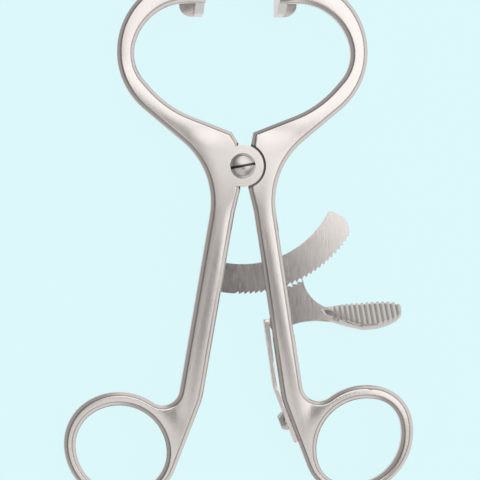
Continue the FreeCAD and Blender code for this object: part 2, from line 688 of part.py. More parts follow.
def make_pivot_screw():
    """Slotted screw with a low domed head; its end is flush with the back of the gag."""
    body = new_body("pivot_screw")
    shank_sketch = circle_sketch(body, "screw_shank_circle", Vector(), "Sizes.screw_radius",
                                 Placement(Vector(0, 0, -HALF), Rotation()))
    extrude(body, "Pad", "screw_shank", shank_sketch, "Sizes.branch_thickness + Sizes.seat_gap")
    low = HALF + size("seat_gap")
    rim = low + size("screw_head_rise")
    top = rim + size("screw_dome")
    radius = size("screw_head_radius")
    head = [line(Vector(0, low, 0), Vector(radius, low, 0)),
            line(Vector(radius, low, 0), Vector(radius, rim, 0)),
            line(Vector(0, top, 0), Vector(0, low, 0))] + dome(radius, rim, top)
    head_sketch = add_sketch(body, "screw_head_profile", head, None, "XZ_Plane")
    revolve(body, "screw_head", head_sketch)
    slot = box(radius * OVERRUN, size("driver_slot") / 2)
    slot_sketch = add_sketch(body, "driver_slot_outline", slot,
                             Placement(Vector(0, 0, top), Rotation(UP, size("driver_slot_angle"))))
    cut(body, "driver_slot", slot_sketch, "Sizes.driver_slot_depth")
    return body


def spring_lines():
    """Inner face of the leaf spring's free part: a point on it, upwards and outwards."""
    low = EDGE + EDGE_OUT * size("spring_standoff")
    length = (size("bend_y") - size("spring_top")) / EDGE_UP.y
    high = EDGE + EDGE_UP * length + EDGE_OUT * size("spring_close")
    up = (high - low).normalize()
    return low, up, Vector(-up.y, up.x, 0)


def make_leaf_spring():
    """Tapered strip, screwed to the straight above the ring and bearing on the lever's tail."""
    body = new_body("leaf_spring")
    gap = size("seat_gap")
    thin = size("spring_thin")
    seat_end = SEAT + SEAT_ALONG * size("spring_end")
    face, up, out = spring_lines()
    top_reach = (-size("spring_top") - face.y) / up.y
    inner_low = seat_end + SEAT_OUT * gap
    outer_low = inner_low + SEAT_OUT * thin
    inner_top = face + up * top_reach
    outer_top = inner_top + out * size("spring_thick")
    inner_bend = meet(inner_low, SEAT_ALONG, face, up)
    outer_start = face + out * thin
    outer_bend = meet(outer_low, SEAT_ALONG, outer_start, (outer_top - outer_start).normalize())
    corners = [inner_low, inner_bend, inner_top, outer_top, outer_bend, outer_low]
    bow = size("spring_bow")
    tip = thin / 2
    strip = rounded(corners, [0, bow, 0, tip, bow, tip])
    strip_sketch = add_sketch(body, "spring_profile", strip)
    extrude(body, "Pad", "spring_strip", strip_sketch, "Sizes.spring_width", symmetric=True)
    hole_sketch = circle_sketch(body, "spring_hole_circle", Vector(),
                                "Sizes.spring_screw_radius + Sizes.seat_gap",
                                facing(SEAT_OUT, SPRING_SCREW))
    cut(body, "spring_hole", hole_sketch, "Sizes.spring_thick * 4", symmetric=True)
    return body


def make_spring_screw():
    """Small screw whose low domed head clamps the leaf spring."""
    body = new_body("spring_screw")
    low = 2 * size("seat_gap") + size("spring_thin")
    rim = low + size("spring_screw_rim")
    top = low + size("spring_screw_rise")
    body_radius = size("spring_screw_radius")
    head_radius = size("spring_screw_head")
    tip = -size("spring_screw_depth")
    profile = [line(Vector(0, tip, 0), Vector(body_radius, tip, 0)),
               line(Vector(body_radius, tip, 0), Vector(body_radius, low, 0)),
               line(Vector(body_radius, low, 0), Vector(head_radius, low, 0)),
               line(Vector(head_radius, low, 0), Vector(head_radius, rim, 0)),
               line(Vector(0, top, 0), Vector(0, tip, 0))] + dome(head_radius, rim, top)
    axis_up = Placement(SPRING_SCREW, Rotation(UP.cross(SEAT_OUT) * -1, SEAT_OUT, UP, "YZX"))
    profile_sketch = add_sketch(body, "spring_screw_profile", profile, axis_up)
    revolve(body, "spring_screw_body", profile_sketch)
    slot = box(head_radius * OVERRUN, size("spring_screw_slot") / 2)
    slot_sketch = add_sketch(body, "spring_screw_slot_outline", slot,
                             facing(SEAT_OUT, SPRING_SCREW + SEAT_OUT * top))
    cut(body, "spring_screw_slot", slot_sketch, "Sizes.spring_screw_slot")
    return body


# Paddle sections: shares of its length, of the grip face's dip, of half width, depth and tilt
PADDLE_SECTIONS = [
    (-0.22, 1.1, 0.22, 0.72, 0.0),
    (0.00, 1.0, 0.42, 0.80, 0.4),
    (0.20, 0.3, 0.76, 0.90, 0.9),
    (0.43, -0.2, 1.00, 0.93, 1.0),
    (0.64, 0.1, 1.01, 0.93, 1.0),
    (0.80, 0.5, 0.87, 0.88, 1.0),
    (0.93, 0.9, 0.63, 0.78, 1.0),
    (1.00, 1.0, 0.34, 0.52, 1.0),
]

# Narrow strips round the paddle's underside
PADDLE_STRIPS = 8


def paddle_section(body, index, share, rise, half_share, depth_share, tilt_share):
    """D-shaped section across the paddle, turned towards the viewer."""
    tilt = math.radians(size("paddle_tilt")) * tilt_share
    across = Vector(-math.sin(tilt), math.cos(tilt), 0)
    normal = Vector(math.cos(tilt), math.sin(tilt), 0)
    centre = Vector(-size("paddle_drop") + rise * size("paddle_dip"), 0, 0)
    half = size("paddle_width") / 2 * half_share
    depth = size("paddle_depth") * depth_share
    corners = []
    for step in range(PADDLE_STRIPS + 1):
        turn = math.pi * step / PADDLE_STRIPS
        corners.append(centre + across * half * math.cos(turn) - normal * depth * math.sin(turn))
    along = size("paddle_start") + share * (size("paddle_end") - size("paddle_start"))
    return add_sketch(body, "paddle_section_%d" % index, polygon(corners),
                      Placement(Vector(0, 0, along), Rotation()), "YZ_Plane")


def grip_rise(along):
    """Rise of the paddle's grip face at a distance sideways from the pivot."""
    share = (along - size("paddle_start")) / (size("paddle_end") - size("paddle_start"))
    for before, after in zip(PADDLE_SECTIONS, PADDLE_SECTIONS[1:]):
        if before[0] <= share <= after[0]:
            part = (share - before[0]) / (after[0] - before[0])
            return (before[1] + part * (after[1] - before[1])) * size("paddle_dip")
    return PADDLE_SECTIONS[-1][1] * size("paddle_dip")


def rib_paddle(body):
    """V grooves across the grip face, which leave rounded ridges for the thumb."""
    tilt = math.radians(size("paddle_tilt"))
    normal = Vector(0, math.cos(tilt), math.sin(tilt))
    across = Vector(0, -math.sin(tilt), math.cos(tilt))
    depth = size("ridge_depth")
    mouth_height = 2 * depth
    mouth = size("ridge_gap") / 2 * (mouth_height + depth) / depth
    notches = []
    for index in range(int(size("ridge_count"))):
        along = size("paddle_end") - size("ridge_inset") - size("ridge_pitch") * index
        face = grip_rise(along) * math.cos(tilt)
        corners = [Vector(along - mouth, face + mouth_height, 0), Vector(along, face - depth, 0),
                   Vector(along + mouth, face + mouth_height, 0)]
        notches += rounded(corners, [0, size("ridge_root"), 0])
    plane = Placement(Vector(0, -size("paddle_drop"), 0), Rotation(Vector(1, 0, 0), normal, across, "ZYX"))
    notch_sketch = add_sketch(body, "grip_notch_outline", notches, plane)
    cut(body, "grip_ridges", notch_sketch, "Sizes.paddle_width * 2", symmetric=True)


def make_release_lever():
    """Pawl, eye, tail and ribbed thumb paddle in one piece."""
    body = new_body("release_lever")
    face_radius = size("bar_tip") + size("pawl_gap")
    first = -size("pawl_first_angle") - size("tooth_pitch") / 2
    last = -size("pawl_first_angle") + size("pawl_teeth") * size("tooth_pitch") + size("tooth_undercut")
    pin = LEVER_PIN
    eye = size("lever_pin_radius") + size("eye_wall")
    face, up, out = spring_lines()
    tail = face + up * ((-size("tail_y") - face.y) / up.y) - out * size("seat_gap")
    foot = up * size("tail_foot")
    lean = out * size("tail_lean")
    root = size("paddle_start")
    tuck = size("neck_tuck")
    points = [polar(face_radius, last), Vector(size("crook_x"), -size("neck_top"), 0),
              Vector(root, -size("neck_top") - tuck, 0), Vector(root, -size("neck_bottom") + tuck, 0),
              Vector(size("heel_x"), -size("neck_bottom"), 0), pin - up * eye + out * size("tail_foot"),
              tail - foot - lean, tail, tail + foot * 2 - lean, pin + up * eye + out * size("tail_foot"),
              polar(face_radius, first)]
    radii = [0, size("crook_radius"), 0, 0, size("heel_radius"), size("tail_foot"),
             size("tail_foot") / 2, size("tail_foot") / 2, size("tail_foot"), eye, 0]
    outline = rounded(points, radii)[:-1]
    outline.append(arc(Vector(), points[-1], points[0], 1))
    plate_sketch = add_sketch(body, "lever_outline", outline)
    extrude(body, "Pad", "lever_plate", plate_sketch, "Sizes.lever_thickness", symmetric=True)
    notch = tooth_notch(face_radius + size("tooth_depth"), face_radius,
                        size("tooth_pitch") - size("pawl_first_angle"))
    notch_sketch = add_sketch(body, "pawl_notch_outline", notch)
    first_notch = cut(body, "pawl_notch", notch_sketch, "Sizes.lever_thickness * 2", symmetric=True)
    repeat_round(body, "pawl_notches", first_notch, "Sizes.tooth_pitch", int(size("pawl_teeth")))
    sections = [paddle_section(body, index, *numbers) for index, numbers in enumerate(PADDLE_SECTIONS)]
    loft(body, "paddle", sections)
    rib_paddle(body)
    eye_sketch = circle_sketch(body, "lever_eye_circle", pin, "Sizes.lever_pin_radius + Sizes.turning_gap")
    cut(body, "lever_eye", eye_sketch, "Sizes.lever_thickness * 2", symmetric=True)
    return body


left_branch = make_branch(-1, "left")
finish_left(left_branch)
right_branch = make_branch(1, "right")
finish_right(right_branch)
ratchet_bar = make_ratchet_bar()
ratchet_rivet = make_pin("ratchet_rivet", RIVET, "Sizes.rivet_radius")
lever_pin = make_pin("lever_pin", LEVER_PIN, "Sizes.lever_pin_radius")
pivot_screw = make_pivot_screw()
leaf_spring = make_leaf_spring()
spring_screw = make_spring_screw()
release_lever = make_release_lever()
bodies = [left_branch, right_branch, ratchet_bar, ratchet_rivet, lever_pin, pivot_screw, leaf_spring,
          spring_screw, release_lever]


def rest_tilt():
    """Angle that brings the blades' lips and the rings down to one plane."""
    inward = size("blade_round")
    lip = Vector(0, size("blade_low") + inward, -HALF - size("blade_depth") + inward)
    inset = size("bevel") + size("bevel_softening")
    rim = Vector(0, left_branch.Shape.BoundBox.YMin + inset, -HALF)
    low = 0.0
    high = 45.0
    for _ in range(HALVINGS):
        middle = (low + high) / 2
        turn = Rotation(Vector(1, 0, 0), middle)
        if turn.multVec(lip).z - inward < turn.multVec(rim).z:
            low = middle
        else:
            high = middle
    return middle


def lay_down(pieces):
    """Give every piece the one placement that rests the gag, with the box's bottom centre at 0."""
    tilt = Rotation(Vector(1, 0, 0), rest_tilt())
    whole = FreeCAD.BoundBox()
    for piece in pieces:
        turned = piece.Shape.copy()
        turned.Placement = Placement(Vector(), tilt)
        whole.add(turned.optimalBoundingBox(True, False))
    shift = Vector(-whole.Center.x, -whole.Center.y, -whole.ZMin)
    for piece in pieces:
        piece.Placement = Placement(shift, tilt)
    print("tilt", tilt.Angle, "shift", shift, "box", whole.XLength, whole.YLength, whole.ZLength)


def export(pieces):
    os.makedirs("parts", exist_ok=True)
    for piece in pieces:
        piece.Shape.exportStep("parts/" + piece.Label + ".step")


lay_down(bodies)
doc.recompute()
for item in doc.Objects:
    if "Invalid" in item.State or "Error" in item.State:
        raise RuntimeError(item.Label + " failed: " + str(item.State))
for body in bodies:
    if body.Shape.isNull() or not body.Shape.isValid():
        raise RuntimeError(body.Label + " has no valid shape")
    print(body.Label, len(body.Shape.Solids), round(body.Shape.Volume, 1), body.Shape.BoundBox)
export(bodies)
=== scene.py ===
import json
import math

import bmesh
import bpy
from bpy.props import FloatProperty, FloatVectorProperty, PointerProperty
from mathutils import Matrix, Vector


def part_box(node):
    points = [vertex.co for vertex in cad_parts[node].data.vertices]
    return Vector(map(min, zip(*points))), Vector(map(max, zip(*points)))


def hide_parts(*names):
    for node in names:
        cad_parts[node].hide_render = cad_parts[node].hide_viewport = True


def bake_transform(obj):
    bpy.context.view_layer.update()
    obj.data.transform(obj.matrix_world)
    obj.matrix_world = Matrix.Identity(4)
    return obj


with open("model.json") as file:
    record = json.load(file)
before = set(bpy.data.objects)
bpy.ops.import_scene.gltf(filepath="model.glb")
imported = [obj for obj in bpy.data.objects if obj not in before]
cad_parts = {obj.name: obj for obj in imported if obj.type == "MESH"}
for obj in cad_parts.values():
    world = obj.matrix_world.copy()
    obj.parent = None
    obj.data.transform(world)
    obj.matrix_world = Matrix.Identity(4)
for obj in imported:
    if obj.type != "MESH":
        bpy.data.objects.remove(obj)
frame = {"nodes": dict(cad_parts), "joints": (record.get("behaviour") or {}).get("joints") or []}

bl_info = {
    "name": "Ratchet Mouth Gag",
    "version": (1, 0, 0),
    "blender": (4, 5, 0),
    "location": "View3D > Sidebar > Mouth Gag",
    "description": "Dresses a ring-handled ratchet mouth gag in satin and polished steel and sets its stage",
    "category": "Object",
}

MM = 0.001

# Turn of the paddle's grip face from the jaws towards the viewer
GRIP_TILT = math.radians(33)

# How much of the steel's tone is left where shade is painted deep in a gap, slot or groove
PAINTED_SHADE_TONE = 0.12

# Middle lines of the branches' metal, in millimetres from the pivot.
# A bow has the place of its centre and its radius, and a line has both its ends.
CROWNS = (("bow", (12.9, 27.9, 16.2)), ("line", (25.0, 17.5, 5.0, 2.0)), ("line", (4.6, -8.0, 13.1, -58.0)),
          ("bow", (29.8, -69.8, 12.4)))

# Curvature of the branches' faces across their middle line, per metre, and how softly two of them meet
CROWN_CURVE = 17.0
CROWN_BLEND = 0.5 * MM

# Distances from the pivot between which the faces turn from flat to crowned
CROWN_START = 6.0 * MM
CROWN_FULL = 17.0 * MM

# Curvature of the pivot screw's low dome, per metre
DOME_CURVE = 45.0

# Heights of the branches' flat faces and of the pivot screw's top over the middle plane, in millimetres
FACE_HEIGHT = 1.95
HEAD_HEIGHT = 2.75

# Radii between which the running gap round the lap disc lies, how softly the shade painted on its walls
# sets in, and how dark it is painted
LAP_INSIDE = 5.1 * MM
LAP_OUTSIDE = 5.9 * MM
LAP_SOFTNESS = 0.1 * MM
LAP_SHADE_SHARE = 0.9

# Far end of the paddle's row of ridges and place of its grip face, in millimetres from the pivot
RIDGES_END = 38.925
GRIP_FACE = -36.6

# Length of the row of ridges, their pitch, the depth under the grip face where the grooves end,
# and how dark the shade painted in the grooves is
RIDGES_LENGTH = 16.0 * MM
RIDGE_PITCH = 1.3 * MM
GROOVE_DEPTH = 0.85 * MM
GROOVE_SHADE_SHARE = 0.4

# Noise of the steel: its clouds, the stretched streaks of its brushing and its fine grain
CLOUD = {"Scale": 90.0, "Detail": 3.0, "Roughness": 0.55}
CLOUD_SHARE = 0.04
STREAK = {"Scale": 1.0, "Detail": 2.0, "Roughness": 0.5}
STREAK_STRETCH = (2600.0, 160.0, 2600.0)
SPECK = {"Scale": 5200.0, "Detail": 2.0, "Roughness": 0.6}
RELIEF = 0.02 * MM

# Angle from which an edge counts as sharp, and angle up to which faces count as one flat face
SHARP_ANGLE = math.radians(35)
FLAT_ANGLE = math.radians(0.3)

# Width of the broken edges of the ratchet's pieces and of the leaf spring
BROKEN_EDGE = 0.2 * MM
SPRING_EDGE = 0.12 * MM

# Cuts across the leaf spring
SPRING_CUTS = 24

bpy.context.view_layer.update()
JOINTS = {joint["name"]: joint for joint in frame["joints"]}
PIVOT = Vector(JOINTS["branch_pivot"]["pos_m"])
UP = Vector(JOINTS["branch_pivot"]["axis"]).normalized()
RIGHT = Vector((1, 0, 0))
JAWS = UP.cross(RIGHT)


def gag_point(right, jaws, up=0.0):
    """A place given in millimetres from the pivot, in the gag's own leaning plane."""
    return PIVOT + (RIGHT * right + JAWS * jaws + UP * up) * MM


# Places of the two soft lamps, in millimetres from the pivot, and their sizes in metres
KEY_PLACE = (142.0, 163.0, 800.0)
KEY_SIZE = (0.60, 0.40)
KEY_SIDE = RIGHT * 0.77 - JAWS * 0.63
FILL_PLACE = (-60.0, -215.0, 800.0)
FILL_SIZE = (0.40, 0.30)
FILL_SHARE = 0.31

# Place of the dark card over the gag, in millimetres from the pivot, and its radius
CARD_PLACE = (46.0, -50.0, 650.0)
CARD_RADIUS = 0.052
CARD_CORNERS = 24

# Middles of the gag for the lamps and of the picture for the lens, in millimetres from the pivot
LAMP_TARGET = (0.0, -10.0)
LENS_TARGET = (-0.6, -18.5)

# Half width of the floor, how far it shows as its plain colour, and the paler tone that it has in the steel
FLOOR_REACH = 1.5
PLAIN_SHARE = 0.93
MIRRORED_BACKDROP = (0.88, 0.90, 0.89, 1.0)

# Brightness of the room by the sine of the height above the horizon, and how it falls off to the left
ROOM = ((0.0, 1.0), (0.5, 0.95), (0.7, 0.65), (0.82, 0.35), (0.90, 0.38), (0.96, 0.58), (1.0, 0.66))
ROOM_DIM = 0.5
ROOM_EDGE = (-0.25, 0.12)


class Signal:
    """A shader socket that can be used in Python arithmetic."""

    def __init__(self, shader, socket):
        self.shader = shader
        self.socket = socket

    def __add__(self, other):
        return self.shader.math("ADD", self, other)

    def __sub__(self, other):
        return self.shader.math("SUBTRACT", self, other)

    def __mul__(self, other):
        return self.shader.math("MULTIPLY", self, other)

    def __rsub__(self, other):
        return self.shader.math("SUBTRACT", other, self)

    def __pow__(self, other):
        return self.shader.math("POWER", self, other)

    __radd__ = __add__
    __rmul__ = __mul__


class Shader:
    """The node tree of one material or of the world."""

    def __init__(self, owner, kind="Material"):
        self.owner = owner
        self.kind = kind
        owner.use_nodes = True
        self.tree = owner.node_tree
        self.tree.nodes.clear()

    def node(self, kind, settings, inputs, output=0):
        """Adds a node: its settings first, then the values or links of its sockets."""
        made = self.tree.nodes.new(kind)
        for key, value in settings.items():
            if key == "stops":
                ramp = made.color_ramp
                while len(ramp.elements) < len(value):
                    ramp.elements.new(0.5)
                for element, (position, colour) in zip(ramp.elements, value):
                    element.position = position
                    element.color = colour
            else:
                setattr(made, key, value)
        for key, value in inputs.items():
            if isinstance(value, Signal):
                self.tree.links.new(value.socket, made.inputs[key])
            else:
                made.inputs[key].default_value = value
        return Signal(self, made.outputs[output])

    def math(self, operation, first, second):
        """One step of arithmetic on two values."""
        return self.node("ShaderNodeMath", {"operation": operation}, {0: first, 1: second})

    def blend(self, share, first, second):
        """Mixes two colours by a share."""
        return self.node("ShaderNodeMix", {"data_type": "RGBA"}, {0: share, 6: first, 7: second}, 2)

    def along(self, place, direction, origin):
        """Distance of a place from an origin along a direction."""
        return self.vector_math("DOT_PRODUCT", place, tuple(direction), "Value") - direction.dot(origin)

    def vector_math(self, operation, first, second, output=0):
        """One step of arithmetic on two vectors."""
        return self.node("ShaderNodeVectorMath", {"operation": operation}, {0: first, 1: second}, output)

    def length(self, vector):
        """Length of a vector."""
        return self.vector_math("LENGTH", vector, (0, 0, 0), "Value")

    def step(self, value, low, high):
        """Rises smoothly from 0 at low to 1 at high, or the other way round."""
        settings = {"interpolation_type": "SMOOTHSTEP"}
        return self.node("ShaderNodeMapRange", settings, {"Value": value, "From Min": low, "From Max": high})

    def output(self, surface):
        """Ends the tree with a surface and gives back its material or world."""
        result = self.tree.nodes.new("ShaderNodeOutput" + self.kind)
        self.tree.links.new(surface.socket, result.inputs["Surface"])
        return self.owner


def tint(colour, factor):
    """A colour made lighter or darker."""
    return (*[min(1.0, channel * factor) for channel in colour], 1.0)


def from_pivot(shader, place):
    """The way from the pivot to a place."""
    return shader.vector_math("SUBTRACT", place, tuple(PIVOT))


def crown_height(shader, place):
    """Height of the slightly rounded faces of the branches: highest along the middle of the metal."""
    right = shader.along(place, RIGHT, PIVOT)
    jaws = shader.along(place, JAWS, PIVOT)
    across = shader.math("ABSOLUTE", right, 0.0)
    height = None
    for kind, numbers in CROWNS:
        if kind == "bow":
            x, y, radius = (number * MM for number in numbers)
            reach = ((across - x) * (across - x) + (jaws - y) * (jaws - y)) ** 0.5
            offset = reach - radius
        else:
            start = Vector(numbers[:2]) * MM
            way = (Vector(numbers[2:]) * MM - start).normalized()
            offset = (across - start.x) * -way.y + (jaws - start.y) * way.x
        part = offset * offset * -CROWN_CURVE
        height = part if height is None else shader.node(
            "ShaderNodeMath", {"operation": "SMOOTH_MAX"}, {0: height, 1: part, 2: CROWN_BLEND})
    return height * shader.step(shader.length(from_pivot(shader, place)), CROWN_START, CROWN_FULL)


def dome_height(shader, place):
    """Height of the pivot screw's low dome."""
    reach = shader.length(from_pivot(shader, place))
    return reach * reach * -DOME_CURVE


def steel(name, colour, roughness, grain, brushing, shade=None, crown=None):
    """Stainless steel: cloudy tone, fine satin grain and faint brushing along the gag.

    shade and crown, if given, take the shader and a place. The first tells where shade is painted into
    the steel's colour, and the second how its faces bulge.
    """
    shader = Shader(bpy.data.materials.new(name))
    place = shader.node("ShaderNodeTexCoord", {}, {}, "Object")
    cloud = shader.node("ShaderNodeTexNoise", {}, {"Vector": place, **CLOUD}, "Fac")
    stretched = shader.node("ShaderNodeMapping", {}, {"Vector": place, "Scale": STREAK_STRETCH})
    streak = shader.node("ShaderNodeTexNoise", {}, {"Vector": stretched, **STREAK}, "Fac")
    speck = shader.node("ShaderNodeTexNoise", {}, {"Vector": place, **SPECK}, "Fac")
    tone = cloud * 0.6 + streak * 0.4
    base = shader.blend(tone, tint(colour, 1 - CLOUD_SHARE), tint(colour, 1 + CLOUD_SHARE))
    # Painted shade: the steel's colour is darkened where the shade function says
    if shade:
        base = shader.blend(shade(shader, place), base, tint(colour, PAINTED_SHADE_TONE))
    rough = roughness - 0.05 + streak * 0.06 + cloud * 0.04
    relief = speck * grain + streak * brushing
    round_face = {}
    if crown:
        height = crown(shader, place)
        round_face["Normal"] = shader.node("ShaderNodeBump", {}, {"Distance": 1.0, "Height": height})
    bump = shader.node("ShaderNodeBump", {}, {
        "Strength": 0.35, "Distance": RELIEF, "Height": relief, **round_face})
    surface = shader.node("ShaderNodeBsdfPrincipled", {}, {
        "Base Color": base, "Metallic": 1.0, "Roughness": rough, "Normal": bump})
    return shader.output(surface)


def forged_steel(name, finish, shade=None):
    """The satin steel of the branches, also for what is ground flush with them."""
    return steel(name, finish.forged_colour, finish.satin, grain=0.4, brushing=0.35, shade=shade,
                 crown=crown_height)


def lap_painted_shade(shader, place):
    """Painted shade: darkens the steel's colour in the running gap round the lap disc."""
    radius = shader.length(shader.vector_math("CROSS_PRODUCT", from_pivot(shader, place), tuple(UP)))
    depth = shader.along(place, UP, gag_point(0, 0, FACE_HEIGHT))
    inside = shader.step(radius, LAP_INSIDE, LAP_INSIDE + LAP_SOFTNESS)
    outside = shader.step(radius, LAP_OUTSIDE, LAP_OUTSIDE - LAP_SOFTNESS)
    return inside * outside * shader.step(depth, -0.15 * MM, -0.6 * MM) * LAP_SHADE_SHARE


def driver_slot_painted_shade(shader, place):
    """Painted shade: darkens the steel's colour at the bottom of the pivot screw's driver slot."""
    depth = shader.along(place, UP, gag_point(0, 0, HEAD_HEIGHT))
    return shader.step(depth, -0.1 * MM, -0.45 * MM)


def ridge_painted_shade(shader, place):
    """Painted shade: darkens the steel's colour in the grooves between the paddle's ridges."""
    right = shader.along(place, RIGHT, gag_point(RIDGES_END, 0))
    phase = shader.node("ShaderNodeMath", {"operation": "PINGPONG"}, {0: right, 1: RIDGE_PITCH / 2})
    groove = shader.step(phase, 0.2 * MM, 0.04 * MM)
    paddle = shader.step(right, -RIDGES_LENGTH - 1.0 * MM, -RIDGES_LENGTH)
    grip_normal = JAWS * math.cos(GRIP_TILT) + UP * math.sin(GRIP_TILT)
    depth = shader.along(place, grip_normal, gag_point(0, GRIP_FACE))
    return groove * paddle * shader.step(depth, -GROOVE_DEPTH, -0.55 * MM) * GROOVE_SHADE_SHARE


def joined_faces():
    """Node group that joins the faces of a CAD mesh and shades them smoothly."""
    group = bpy.data.node_groups.new("joined_faces", "GeometryNodeTree")
    group.interface.new_socket("Geometry", in_out="INPUT", socket_type="NodeSocketGeometry")
    group.interface.new_socket("Geometry", in_out="OUTPUT", socket_type="NodeSocketGeometry")
    start = group.nodes.new("NodeGroupInput")
    merge = group.nodes.new("GeometryNodeMergeByDistance")
    merge.inputs["Distance"].default_value = 0.001 * MM
    clear = group.nodes.new("GeometryNodeRemoveAttribute")
    clear.inputs["Name"].default_value = "custom_normal"
    smooth = group.nodes.new("GeometryNodeSetShadeSmooth")
    end = group.nodes.new("NodeGroupOutput")
    group.links.new(start.outputs[0], merge.inputs["Geometry"])
    group.links.new(merge.outputs["Geometry"], clear.inputs["Geometry"])
    group.links.new(clear.outputs["Geometry"], smooth.inputs[0])
    group.links.new(smooth.outputs[0], end.inputs[0])
    return group


def soften(piece, edge=0.0, bends=False):
    """Shades the narrow bevels as the rounded edges that they stand for, and breaks sharp edges a little.

    A piece that bends keeps the cuts across its flat faces.
    """
    group = bpy.data.node_groups.get("joined_faces") or joined_faces()
    piece.modifiers.new("joined_faces", "NODES").node_group = group
    if not bends:
        flat = piece.modifiers.new("flat_faces", "DECIMATE")
        flat.decimate_type = "DISSOLVE"
        flat.angle_limit = FLAT_ANGLE
    if edge:
        bevel = piece.modifiers.new("broken_edges", "BEVEL")
        bevel.limit_method = "ANGLE"
        bevel.angle_limit = SHARP_ANGLE
        bevel.width = edge
        bevel.segments = 2
    split = piece.modifiers.new("sharp_edges", "EDGE_SPLIT")
    split.split_angle = SHARP_ANGLE
    split.use_edge_sharp = False
    weighted = piece.modifiers.new("weighted_normals", "WEIGHTED_NORMAL")
    weighted.weight = 100


def dress(node_name, material, edge=0.0):
    """Gives a CAD node one material and soft edges."""
    node = frame["nodes"][node_name]
    node.data.materials.clear()
    node.data.materials.append(material)
    soften(node, edge)


class GagFinish(bpy.types.PropertyGroup):
    """Colours and roughness of the steel parts."""
    forged_colour: FloatVectorProperty(
        name="Forged steel", description="Tone of the satin branches", subtype="COLOR",
        default=(0.66, 0.62, 0.60), min=0.0, max=1.0)
    mechanism_colour: FloatVectorProperty(
        name="Ratchet steel", description="Tone of the ratchet bar and the release lever", subtype="COLOR",
        default=(0.65, 0.61, 0.59), min=0.0, max=1.0)
    screw_colour: FloatVectorProperty(
        name="Screw steel", description="Tone of the screws, pins and rivet", subtype="COLOR",
        default=(0.55, 0.52, 0.505), min=0.0, max=1.0)
    satin: FloatProperty(
        name="Satin roughness", description="How dull the branches are", subtype="FACTOR",
        default=0.19, min=0.0, max=1.0)
    ratchet_satin: FloatProperty(
        name="Ratchet roughness", description="How dull the ratchet bar and the release lever are",
        subtype="FACTOR", default=0.152, min=0.0, max=1.0)
    polish: FloatProperty(
        name="Polished roughness", description="How dull the screws and the spring are", subtype="FACTOR",
        default=0.19, min=0.0, max=1.0)


class GagStage(bpy.types.PropertyGroup):
    """Floor, light and camera."""
    backdrop: FloatVectorProperty(
        name="Backdrop", description="Colour of the floor under the gag", subtype="COLOR",
        default=(0.738, 0.965, 0.991), min=0.0, max=1.0)
    distance: FloatProperty(
        name="Camera distance", description="From the lens to the plane of the gag",
        subtype="DISTANCE", unit="LENGTH", default=0.65, min=0.1)
    field: FloatProperty(
        name="Field width", description="Width of the picture in the plane of the gag",
        subtype="DISTANCE", unit="LENGTH", default=0.12, min=0.01)
    yaw: FloatProperty(
        name="Camera yaw", description="How far the camera stands to the left of the gag's normal",
        subtype="ANGLE", default=math.radians(4.0))
    lamp_power: FloatProperty(
        name="Lamp power", description="Power of the main soft lamp", subtype="POWER", unit="POWER",
        default=0.72, min=0.0)
    world_light: FloatProperty(
        name="Room light", description="Strength of the even light all round", default=1.0, min=0.0)


class GAG_OT_branches(bpy.types.Operator):
    """Give both branches their satin forged steel"""
    bl_idname = "gag.branches"
    bl_label = "Branches"

    def execute(self, context):
        finish = context.scene.gag_finish
        # The branches' steel gets painted shade in the running gap round the lap disc
        material = forged_steel("satin_forged_steel", finish, lap_painted_shade)
        dress("left_branch", material)
        dress("right_branch", material)
        return {"FINISHED"}


class GAG_OT_ratchet(bpy.types.Operator):
    """Give the ratchet bar and its rivet their steel"""
    bl_idname = "gag.ratchet"
    bl_label = "Ratchet bar"

    def execute(self, context):
        finish = context.scene.gag_finish
        material = steel("ratchet_steel", finish.mechanism_colour, finish.ratchet_satin,
                         grain=0.3, brushing=0.4)
        dress("ratchet_bar", material, BROKEN_EDGE)
        dress("ratchet_rivet", forged_steel("rivet_steel", finish))
        return {"FINISHED"}


class GAG_OT_release(bpy.types.Operator):
    """Give the release lever and its pin their steel"""
    bl_idname = "gag.release"
    bl_label = "Release lever"

    def execute(self, context):
        finish = context.scene.gag_finish
        # The lever's steel gets painted shade in the grooves between the paddle's ridges
        material = steel("lever_steel", finish.mechanism_colour, finish.ratchet_satin,
                         grain=0.3, brushing=0.3, shade=ridge_painted_shade)
        dress("release_lever", material, BROKEN_EDGE)
        dress("lever_pin", forged_steel("lever_pin_steel", finish))
        return {"FINISHED"}


class GAG_OT_screws(bpy.types.Operator):
    """Give both screws their polished steel"""
    bl_idname = "gag.screws"
    bl_label = "Screws"

    def execute(self, context):
        finish = context.scene.gag_finish
        # The screw's steel gets painted shade at the bottom of its driver slot
        domed = steel("polished_screw_steel", finish.screw_colour, finish.polish, grain=0.3, brushing=0.1,
                      shade=driver_slot_painted_shade, crown=dome_height)
        dress("pivot_screw", domed)
        dress("spring_screw", steel("spring_screw_steel", finish.screw_colour, finish.polish,
                                    grain=0.3, brushing=0.1))
        return {"FINISHED"}


